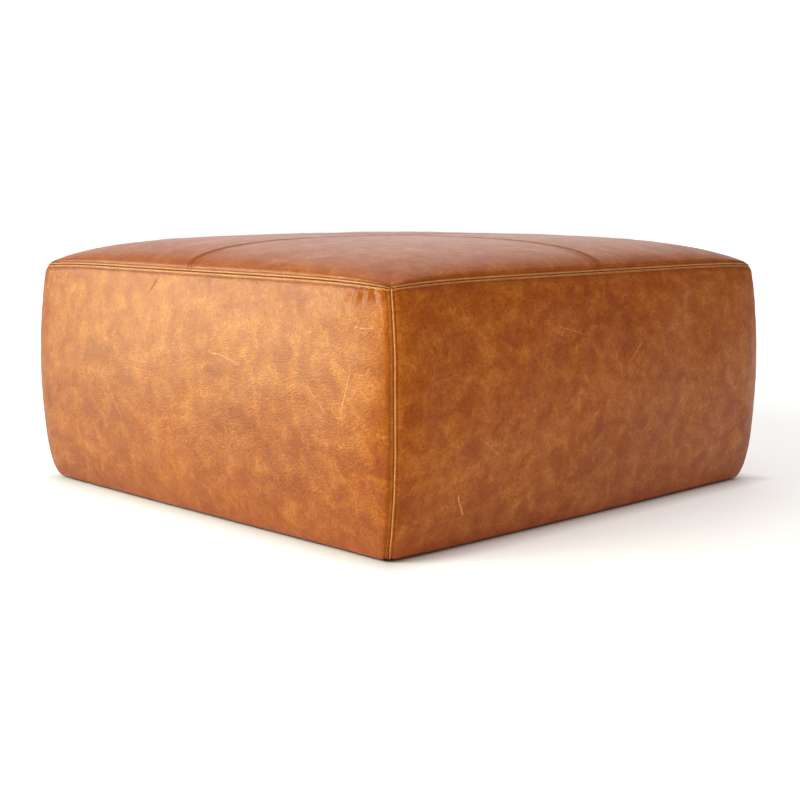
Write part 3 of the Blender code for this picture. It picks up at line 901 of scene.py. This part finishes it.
class Nodes:
    """A node tree being built. Each method adds a node and returns its output."""

    def __init__(self, tree):
        self.tree = tree

    def node(self, kind, inputs=None, **settings):
        """The node itself. An input is a value, or the socket that feeds it."""
        made = self.tree.nodes.new(kind)
        for key, value in settings.items():
            setattr(made, key, value)
        for key, value in (inputs or {}).items():
            if isinstance(value, bpy.types.NodeSocket):
                self.tree.links.new(value, made.inputs[key])
            else:
                made.inputs[key].default_value = value
        return made

    def place(self):
        """Where a point is, in metres. Every piece's own origin is the frame's."""
        return self.node("ShaderNodeTexCoord").outputs["Object"]

    def stored(self, name, output="Fac"):
        """A value that the mesh holds for each of its points."""
        return self.node("ShaderNodeAttribute", attribute_name=name).outputs[output]

    def split(self, vector):
        return self.node("ShaderNodeSeparateXYZ", {"Vector": vector}).outputs

    def noise(self, vector, scale, detail=4.0, rough=0.55, warp=0.0):
        return self.node("ShaderNodeTexNoise", {"Vector": vector, "Scale": scale, "Detail": detail,
                                                "Roughness": rough, "Distortion": warp}).outputs["Fac"]

    def spread(self, value, low, high, to_low=0.0, to_high=1.0, smooth=False):
        """A value's range from low to high, stretched to another range and held there outside it."""
        kind = "SMOOTHSTEP" if smooth else "LINEAR"
        return self.node("ShaderNodeMapRange", {"Value": value, "From Min": low, "From Max": high,
                                                "To Min": to_low, "To Max": to_high},
                         interpolation_type=kind).outputs["Result"]

    def maths(self, operation, a, b=0.0):
        return self.node("ShaderNodeMath", {0: a, 1: b}, operation=operation).outputs[0]

    def times(self, a, b):
        return self.maths("MULTIPLY", a, b)

    def plus(self, a, b):
        return self.maths("ADD", a, b)

    def less(self, a, b):
        """One vector less another."""
        return self.node("ShaderNodeVectorMath", {0: a, 1: b}, operation="SUBTRACT").outputs["Vector"]

    def measure(self, operation, a, b=(0, 0, 0)):
        """A number worked out from vectors, such as LENGTH or DISTANCE."""
        return self.node("ShaderNodeVectorMath", {0: a, 1: b}, operation=operation).outputs["Value"]

    def mix(self, share, a, b):
        return self.node("ShaderNodeMix", {0: share, 6: a, 7: b}, data_type="RGBA").outputs[2]

    def ramp(self, value, *stops):
        """A colour ramp with (place, colour) stops."""
        made = self.node("ShaderNodeValToRGB", {"Fac": value})
        elements = made.color_ramp.elements
        while len(elements) < len(stops):
            elements.new(0.5)
        for element, (place, colour) in zip(elements, stops):
            element.position = place
            element.color = (*colour, 1.0)
        return made.outputs["Color"]

    def stretched(self, vector, scale, turn=(0, 0, 0)):
        inputs = {"Vector": vector, "Scale": scale, "Rotation": turn}
        return self.node("ShaderNodeMapping", inputs).outputs["Vector"]

    def bump(self, height, distance, strength=1.0, under=None):
        inputs = {"Height": height, "Distance": distance, "Strength": strength}
        if under is not None:
            inputs["Normal"] = under
        return self.node("ShaderNodeBump", inputs).outputs["Normal"]


class Finish(Nodes):
    """A new node material, with constants set on its shader's own sockets."""

    def __init__(self, name, **constants):
        self.made = bpy.data.materials.new(name)
        self.made.use_nodes = True
        super().__init__(self.made.node_tree)
        self.shader = self.tree.nodes["Principled BSDF"]
        for key, value in constants.items():
            self.shader.inputs[key.replace("_", " ")].default_value = value

    def plug(self, **sockets):
        """Feeds the shader, and returns the material."""
        for key, value in sockets.items():
            self.tree.links.new(value, self.shader.inputs[key.replace("_", " ")])
        return self.made


# Marks on the leather by side: both ends in its flat coordinates, width, and paleness (dark below 0).
MARKS = {
    "front": (((0.104, -0.232), (0.146, -0.239), 0.0007, -0.8),
              ((0.144, -0.239), (0.190, -0.228), 0.0006, -0.6),
              ((0.393, -0.118), (0.380, -0.178), 0.0007, 0.8),
              ((0.400, -0.062), (0.430, -0.061), 0.0007, 0.6),
              ((0.409, -0.127), (0.421, -0.126), 0.0007, 0.6),
              ((0.076, -0.120), (0.158, -0.138), 0.0008, 0.45),
              ((0.300, -0.150), (0.345, -0.190), 0.0006, 0.5),
              ((-0.21, -0.200), (-0.17, -0.252), 0.0007, 0.5)),
    "right": (((-0.334, -0.312), (-0.320, -0.343), 0.0013, 0.8),
              ((-0.120, -0.080), (-0.060, -0.095), 0.0007, 0.5),
              ((0.050, -0.150), (0.085, -0.118), 0.0007, 0.6),
              ((-0.300, -0.230), (-0.255, -0.262), 0.0007, 0.4)),
    "back": (((-0.200, -0.120), (-0.150, -0.170), 0.0008, 0.6),
             ((0.220, -0.300), (0.262, -0.285), 0.0007, -0.6)),
    "left": (((0.100, -0.210), (0.150, -0.190), 0.0008, 0.6),
             ((-0.280, -0.100), (-0.262, -0.150), 0.0007, -0.6))}
PALE_MARK = (0.80, 0.46, 0.20, 1)
DARK_MARK = (0.07, 0.014, 0.003, 1)


def scratch(t, flat, panel, begin, end, width):
    """1 along a short line on one panel, and 0 away from it."""
    first, last = Vector((*begin, panel)), Vector((*end, panel))
    run = (last - first).normalized()
    offset = t.less(flat, first)
    length = (last - first).length
    held = t.spread(t.measure("DOT_PRODUCT", offset, run), 0.0, length, 0.0, length)
    nearest = t.node("ShaderNodeVectorMath", {0: run, "Scale": held}, operation="SCALE").outputs["Vector"]
    return t.spread(t.measure("DISTANCE", offset, nearest), width * 0.3, width * 1.6, 1.0, 0.0, smooth=True)


def leather_finish():
    """Pull-up leather: marbled and worn, with a pebbled grain, fine scratches and a soft shine."""
    t = Finish("cognac_leather", Specular_IOR_Level=0.38, Specular_Tint=(1.0, 0.64, 0.36, 1.0))
    flat = t.stored("flat", "Vector")
    seam = t.stored("seam")
    lip = t.stored("lip")
    # Marbling, from clouds to specks, calmer on the top panels.
    clouds = t.noise(flat, 6.0, 2.0, 0.5, 0.3)
    marble = t.noise(flat, 30.0, 9.0, 0.70, 0.4)
    specks = t.noise(flat, 190.0, 5.0, 0.72)
    blend = t.plus(t.times(clouds, 0.22), t.times(marble, 0.54))
    blend = t.plus(blend, t.times(specks, 0.24))
    calmer = t.spread(t.split(flat)["Z"], TOP_OFFSET - 2, TOP_OFFSET - 1, 1.0, 0.62)
    blend = t.plus(t.times(t.maths("SUBTRACT", blend, 0.5), calmer), 0.5)
    base = t.ramp(blend, (0.36, (0.230, 0.040, 0.0020)), (0.46, (0.310, 0.066, 0.0030)),
                  (0.54, (0.385, 0.096, 0.0050)), (0.65, (0.500, 0.165, 0.0160)))
    pits = t.spread(specks, 0.34, 0.48, 1.0, 0.0)
    base = t.mix(t.times(pits, 0.45), base, (0.13, 0.022, 0.003, 1))
    # Pale veins and short fibres.
    veins = t.noise(flat, 44.0, 6.0, 0.65, 0.9)
    ridged = t.spread(t.maths("ABSOLUTE", t.maths("SUBTRACT", veins, 0.5)), 0.0, 0.035, 1.0, 0.0)
    paler = t.times(ridged, t.spread(marble, 0.44, 0.60))
    base = t.mix(t.times(paler, 0.42), base, (0.62, 0.250, 0.060, 1))
    hairs = t.noise(t.stretched(flat, (60, 900, 1), (0, 0, 0.9)), 1.0, 3.0, 0.6)
    wisps = t.noise(t.stretched(flat, (900, 60, 1), (0, 0, 0.5)), 1.0, 3.0, 0.6)
    fibres = t.spread(t.maths("MAXIMUM", hairs, wisps), 0.66, 0.76, 0.0, 0.34)
    base = t.mix(fibres, base, (0.66, 0.290, 0.085, 1))
    # Scratches and drawn lines, which wander a little.
    wander = t.node("ShaderNodeTexNoise", {"Vector": flat, "Scale": 26.0, "Detail": 1.0}).outputs["Color"]
    wander = t.less(wander, Vector((0.5, 0.5, 0.5)))
    bent = t.node("ShaderNodeVectorMath", {0: wander, 1: Vector((0.013, 0.013, 0.0)), 2: flat},
                  operation="MULTIPLY_ADD").outputs["Vector"]
    for side, marks in MARKS.items():
        for begin, end, width, pale in marks:
            line = t.times(scratch(t, bent, side_offset(SIDES[side]), begin, end, width),
                           t.spread(specks, 0.36, 0.58, 0.25, 0.9))
            base = t.mix(t.times(line, abs(pale)), base, PALE_MARK if pale > 0 else DARK_MARK)
    lines = t.noise(t.stretched(bent, (150, 640, 1)), 1.0, 3.0, 0.6)
    drawn = t.times(t.spread(lines, 0.56, 0.70), t.spread(seam, 0.006, 0.085, 0.34, 0.05))
    base = t.mix(drawn, base, (0.12, 0.024, 0.004, 1))
    # Darker beside the seams, and paler proud edges.
    seam_darkening = t.times(t.spread(seam, 0.003, 0.016, 0.30, 0.0, smooth=True),
                    t.spread(marble, 0.35, 0.6, 0.6, 1.0))
    base = t.mix(seam_darkening, base, (0.20, 0.040, 0.004, 1))
    # The proud edges paler: colour rubbed off, and a painted highlight where they catch the light.
    wear_and_highlight = t.times(lip, t.spread(specks, 0.38, 0.56, 0.45, 0.90))
    base = t.mix(wear_and_highlight, base, (0.74, 0.36, 0.115, 1))
    rough = t.plus(t.spread(blend, 0.40, 0.60, 0.42, 0.34), t.spread(specks, 0.3, 0.7, -0.04, 0.08))
    # Relief: broad softness, creases near the seams, then the grain.
    grain = t.node("ShaderNodeTexVoronoi", {"Vector": flat, "Scale": 380.0, "Randomness": 0.95,
                                            "Smoothness": 0.4}, feature="SMOOTH_F1").outputs["Distance"]
    pores = t.noise(flat, 620.0, 3.0, 0.65)
    height = t.plus(t.times(grain, -1.0), t.times(pores, 0.7))
    soft = t.bump(t.noise(flat, 60.0, 5.0, 0.65), 0.0012, 0.40)
    creased = t.bump(t.times(lines, t.spread(seam, 0.0, 0.07, 1.0, 0.25)), 0.0005, 0.45, soft)
    surface = t.bump(height, 0.00075, 0.75, creased)
    # Redder at the foot: a burnish, and painted warm light bounced up from the floor. And the dark bottom of
    # the seams.
    foot_burnish_and_bounce = t.times(t.spread(t.split(t.place())["Z"], 0.002, 0.040, 0.55, 0.0, smooth=True),
                      t.spread(marble, 0.36, 0.60, 0.4, 1.0))
    base = t.mix(foot_burnish_and_bounce, base, (0.42, 0.070, 0.012, 1))
    groove = t.spread(seam, 0.0002, 0.0009, 1.0, 0.0, smooth=True)
    base = t.mix(groove, base, (0.230, 0.052, 0.0040, 1))
    return t.plug(Base_Color=base, Roughness=t.maths("MAXIMUM", rough, groove), Normal=surface)


def flesh_finish():
    """The raw back of the leather: pale, matt and fibrous."""
    t = Finish("leather_back", Roughness=0.95, Specular_IOR_Level=0.1)
    flat = t.stored("flat", "Vector")
    fibres = t.noise(flat, 240.0, 6.0, 0.7, 1.0)
    base = t.ramp(t.noise(flat, 22.0, 4.0), (0.3, (0.30, 0.155, 0.075)), (0.7, (0.46, 0.28, 0.16)))
    return t.plug(Base_Color=t.mix(t.spread(fibres, 0.3, 0.7, 0, 0.5), base, (0.52, 0.36, 0.23, 1)),
                  Normal=t.bump(fibres, 0.0006, 0.8))


def thread_finish():
    """Waxed polyester thread, two plies twisted."""
    t = Finish("tan_thread", Roughness=0.7, Specular_IOR_Level=0.15)
    place = t.node("ShaderNodeNewGeometry").outputs["Position"]
    plies = t.node("ShaderNodeTexWave", {"Vector": t.stretched(place, (1, 1, 1), (0.6, 0.6, 0.6)),
                                         "Scale": 900.0}).outputs["Fac"]
    base = t.ramp(t.noise(place, 90.0, 3.0), (0.3, (0.150, 0.042, 0.008)), (0.7, (0.230, 0.075, 0.016)))
    return t.plug(Base_Color=t.mix(t.spread(plies, 0.2, 0.8, 0.3, 0), base, (0.07, 0.02, 0.004, 1)),
                  Normal=t.bump(plies, 0.0002, 0.6))


def foam_finish():
    """Open-cell upholstery foam, a little yellowed."""
    t = Finish("upholstery_foam", Roughness=0.95, Sheen_Weight=0.15)
    place = t.place()
    cells = t.node("ShaderNodeTexVoronoi", {"Vector": place, "Scale": 620.0},
                   feature="DISTANCE_TO_EDGE").outputs["Distance"]
    base = t.ramp(t.noise(place, 9.0, 4.0), (0.35, (0.72, 0.63, 0.40)), (0.65, (0.80, 0.74, 0.56)))
    return t.plug(Base_Color=t.mix(t.spread(cells, 0.0, 0.12, 0.4, 0.0), base, (0.50, 0.41, 0.22, 1)),
                  Normal=t.bump(cells, 0.0007, 0.8))


def batting_finish():
    """White polyester fibre."""
    t = Finish("polyester_batting", Roughness=1.0, Sheen_Weight=0.5, Sheen_Roughness=0.7)
    place = t.place()
    fibres = t.noise(t.stretched(place, (1, 2.4, 1), (0, 0, 0.5)), 260.0, 6.0, 0.7, 2.5)
    tufts = t.noise(place, 34.0, 4.0, 0.6, 1.0)
    base = t.ramp(tufts, (0.3, (0.76, 0.76, 0.74)), (0.7, (0.90, 0.90, 0.89)))
    return t.plug(Base_Color=t.mix(t.spread(fibres, 0.35, 0.6, 0.25, 0.0), base, (0.60, 0.60, 0.59, 1)),
                  Normal=t.bump(fibres, 0.0009, 0.8, t.bump(tufts, 0.002, 0.5)))


def woven(t, place, pitch):
    """The height of a plain weave, 0 to 1, with threads along X and along Y."""
    split = t.split(place)
    turn = 2 * math.pi / pitch
    x = t.maths("SINE", t.times(split["X"], turn))
    y = t.maths("SINE", t.times(split["Y"], turn))
    return t.spread(t.times(x, y), -1, 1)


def cloth_finish(name, pitch, dark, light, depth):
    """A plain woven cloth."""
    t = Finish(name, Roughness=0.92, Sheen_Weight=0.25, Sheen_Roughness=0.6)
    place = t.place()
    weave = woven(t, place, pitch)
    slubs = t.noise(t.stretched(place, (40, 300, 1)), 1.0, 3.0)
    base = t.ramp(t.plus(t.times(weave, 0.6), t.times(slubs, 0.4)), (0.3, dark), (0.7, light))
    return t.plug(Base_Color=base, Normal=t.bump(weave, depth, 0.8))


def webbing_finish():
    """Jute webbing."""
    t = Finish("jute_webbing", Roughness=0.95, Sheen_Weight=0.2)
    place = t.place()
    weave = woven(t, place, 0.0032)
    base = t.ramp(t.noise(place, 70.0, 5.0, 0.6), (0.35, (0.36, 0.24, 0.12)), (0.65, (0.52, 0.38, 0.21)))
    return t.plug(Base_Color=t.mix(t.spread(weave, 0.2, 0.7, 0.5, 0.0), base, (0.20, 0.12, 0.05, 1)),
                  Normal=t.bump(weave, 0.0005, 0.9))


def timber_finish(along):
    """Sawn pine, its grain along one axis."""
    t = Finish(f"pine_{along}", Roughness=0.72)
    place = t.place()
    scale = [38.0, 38.0, 38.0]
    scale["xyz".index(along)] = 2.2
    rings = t.noise(t.stretched(place, tuple(scale)), 1.0, 2.0, 0.5, 1.5)
    bands = t.maths("SINE", t.times(rings, 60.0))
    fine = t.noise(t.stretched(place, tuple(v * 12 for v in scale)), 1.0, 4.0)
    base = t.ramp(t.spread(bands, -1, 1), (0.1, (0.60, 0.40, 0.20)), (0.9, (0.76, 0.58, 0.36)))
    return t.plug(Base_Color=t.mix(t.spread(fine, 0.3, 0.7, 0.25, 0.0), base, (0.45, 0.27, 0.12, 1)),
                  Roughness=t.spread(fine, 0.3, 0.7, 0.62, 0.82), Normal=t.bump(fine, 0.0004, 0.5))


def board_finish():
    """Brown hardboard, smooth with darker fibres."""
    t = Finish("hardboard", Roughness=0.6)
    fibres = t.noise(t.place(), 210.0, 6.0, 0.7, 1.5)
    base = t.ramp(fibres, (0.3, (0.16, 0.085, 0.040)), (0.7, (0.29, 0.17, 0.090)))
    return t.plug(Base_Color=base, Roughness=t.spread(fibres, 0.3, 0.7, 0.5, 0.7),
                  Normal=t.bump(fibres, 0.0003, 0.4))


def nylon_finish():
    """Black moulded nylon, scuffed by the floor."""
    t = Finish("black_nylon", Roughness=0.45)
    place = t.place()
    scuffs = t.noise(t.stretched(place, (90, 420, 90), (0, 0, 0.7)), 1.0, 4.0)
    base = t.ramp(scuffs, (0.45, (0.018, 0.018, 0.019)), (0.75, (0.060, 0.058, 0.056)))
    return t.plug(Base_Color=base, Roughness=t.spread(scuffs, 0.4, 0.7, 0.38, 0.65),
                  Normal=t.bump(t.noise(place, 900.0, 2.0), 0.00012, 0.4))


def zinc_finish():
    """Zinc-plated steel."""
    t = Finish("zinc_plate", Metallic=1.0, Roughness=0.32)
    spots = t.noise(t.place(), 380.0, 3.0)
    base = t.ramp(spots, (0.3, (0.52, 0.53, 0.54)), (0.7, (0.70, 0.70, 0.69)))
    return t.plug(Base_Color=base, Roughness=t.spread(spots, 0.3, 0.7, 0.24, 0.42),
                  Normal=t.bump(spots, 0.0001, 0.4))


# ---------------------------------------------------------------- the scene


def floor():
    """A pale floor with a glow of its own, which fades out under the pouf and grows far away."""
    bpy.ops.mesh.primitive_circle_add(vertices=96, radius=14, fill_type="NGON")
    made = bpy.context.object
    made.name = "studio_floor"
    t = Finish("pale_floor", Roughness=0.75, Specular_IOR_Level=0.25,
               Emission_Color=(1, 1, 1, 1), Base_Color=(0.78, 0.85, 0.95, 1))
    away = t.measure("LENGTH", t.place())
    split = t.split(t.place())
    square = t.maths("MAXIMUM", t.maths("ABSOLUTE", split["X"]), t.maths("ABSOLUTE", split["Y"]))
    glow = t.times(t.spread(square, 0.44, 0.50), t.spread(away, 0.9, 3.2, 0.36, 0.66, smooth=True))
    made.data.materials.append(t.plug(Emission_Strength=glow))


# Each light's name, place, target, size, power and colour, and whether it adds only gloss.
LIGHTS = (("key", (-0.42, -2.75, 1.64), (0.25, -0.46, 0.2), (1.4, 1.4), 70, (0.97, 1.0, 0.76), False),
          ("strip", (-1.68, -2.03, 0.62), (0.22, -0.46, 0.2), (0.42, 1.2), 78, (0.80, 0.95, 0.70), True),
          ("window", (-1.95, -2.25, 1.5), (0.0, -0.46, 0.37), (1.8, 0.6), 62, (0.22, 0.52, 1.0), True),
          ("fill", (2.1, -1.3, 0.7), (0.46, -0.4, 0.2), (1.0, 1.0), 6, (1.0, 0.60, 0.28), False))


def lights():
    """Soft area lights: three at the left of the photograph's view and a weak one at its right."""
    for name, place, target, size, power, colour, gloss_only in LIGHTS:
        light = bpy.data.lights.new(name, "AREA")
        light.shape = "RECTANGLE"
        light.size, light.size_y = size
        light.energy = power
        light.color = colour
        lamp = bpy.data.objects.new(name, light)
        lamp.visible_diffuse = not gloss_only
        lamp.location = place
        lamp.rotation_euler = (Vector(target) - Vector(place)).to_track_quat("-Z", "Y").to_euler()
        bpy.context.scene.collection.objects.link(lamp)


def surround():
    """White to the camera. To the pouf, a warm dome that is brightest overhead, and a cool glow behind it."""
    world = bpy.data.worlds.new("white_surround")
    world.use_nodes = True
    t = Nodes(world.node_tree)
    t.tree.nodes.clear()
    shown = t.node("ShaderNodeBackground", {"Color": (1, 1, 1, 1), "Strength": 1.0})
    toward = t.node("ShaderNodeTexCoord").outputs["Generated"]
    up = t.split(toward)["Z"]
    behind = t.measure("DOT_PRODUCT", toward, (-0.72, 0.70, 0.0))
    overall = t.spread(up, 0.25, 1.0, 0.05, 1.10)
    beyond = t.spread(behind, 0.74, 0.98, 0.0, 1.60, smooth=True)
    warm = t.node("ShaderNodeBackground", {"Color": (1.0, 0.90, 0.78, 1), "Strength": overall})
    cool = t.node("ShaderNodeBackground", {"Color": (0.96, 0.98, 1.0, 1), "Strength": beyond})
    lit = t.node("ShaderNodeAddShader", {0: warm.outputs[0], 1: cool.outputs[0]})
    camera_ray = t.node("ShaderNodeLightPath").outputs["Is Camera Ray"]
    both = t.node("ShaderNodeMixShader", {0: camera_ray, 1: lit.outputs[0], 2: shown.outputs[0]})
    t.node("ShaderNodeOutputWorld", {"Surface": both.outputs[0]})
    bpy.context.scene.world = world
    bpy.context.scene.view_settings.view_transform = "Standard"


CAMERA_AT = (1.87723, -1.8177, 0.51991)
CAMERA_YAW, CAMERA_PITCH = -0.79978, -0.14289


def camera():
    """At the photograph's place: a little above the pouf, looking at its front right corner."""
    data = bpy.data.cameras.new("camera")
    data.lens = 64.8
    data.sensor_width = 36
    made = bpy.data.objects.new("camera", data)
    level = math.cos(CAMERA_PITCH)
    look = Vector((math.sin(CAMERA_YAW) * level, math.cos(CAMERA_YAW) * level, math.sin(CAMERA_PITCH)))
    made.location = CAMERA_AT
    made.rotation_euler = look.to_track_quat("-Z", "Y").to_euler()
    bpy.context.scene.collection.objects.link(made)
    bpy.context.scene.camera = made


def cover():
    """The eight leather panels and the thread that joins them."""
    materials = [leather_finish(), flesh_finish()]
    thread = thread_finish()
    pushes = simulated_push()
    side_rows = {side: leather_side(side, turns, pushes[turns], materials) for side, turns in SIDES.items()}
    top_rows = {corner: leather_top(corner, turns, pushes[4 + turns], materials)
                for corner, turns in CORNERS.items()}
    corner_list = list(CORNERS)
    for index, side in enumerate(SIDES):
        after = list(SIDES)[(index + 1) % 4]
        ahead, behind = corner_list[index], corner_list[index - 1]
        edge_rows = [side_rows[side][0], top_rows[ahead][0], top_rows[behind][1]]
        stitches(f"stitches_edge_{side}", edge_rows, thread)
        stitches(f"stitches_corner_{corner_list[index]}", [side_rows[side][2], side_rows[after][1]], thread)
        stitches(f"stitches_top_{side}", [top_rows[ahead][3], top_rows[behind][2]], thread)


def inside():
    """Padding, suspension, underside and frame."""
    foam = foam_finish()
    for side, turns in SIDES.items():
        side_pad(side, turns, foam)
    seat_foam(foam)
    batting(batting_finish())
    straps(webbing_finish())
    calico = cloth_finish("calico", 0.0012, (0.50, 0.46, 0.38), (0.68, 0.64, 0.55), 0.0002)
    deck = flat_sheet("deck_sheet", "deck_cloth", "deck_cloth", 90, calico, 0.0)
    cambric = cloth_finish("black_cambric", 0.0014, (0.008, 0.008, 0.009), (0.030, 0.030, 0.032), 0.0002)
    dust = flat_sheet("dust_cover_sheet", "dust_cover", "dust_cover", 110, cambric, DUST_SAG, hem=DUST_HEM)
    zinc = zinc_finish()
    staples(zinc)
    timber = {axis: timber_finish(axis) for axis in "xyz"}
    board, nylon = board_finish(), nylon_finish()
    for name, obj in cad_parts.items():
        if "rail" in name or "stretcher" in name or "brace" in name:
            finish = timber["x" if name.endswith(("front", "back")) else "y"]
        elif "post" in name:
            finish = timber["z"]
        elif "board" in name:
            finish = board
        elif name.startswith("glide_screw"):
            finish = zinc
        elif name.startswith("glide"):
            finish = nylon
        else:
            continue
        obj.data.materials.clear()
        obj.data.materials.append(finish)


cover()
inside()
floor()
lights()
surround()
camera()
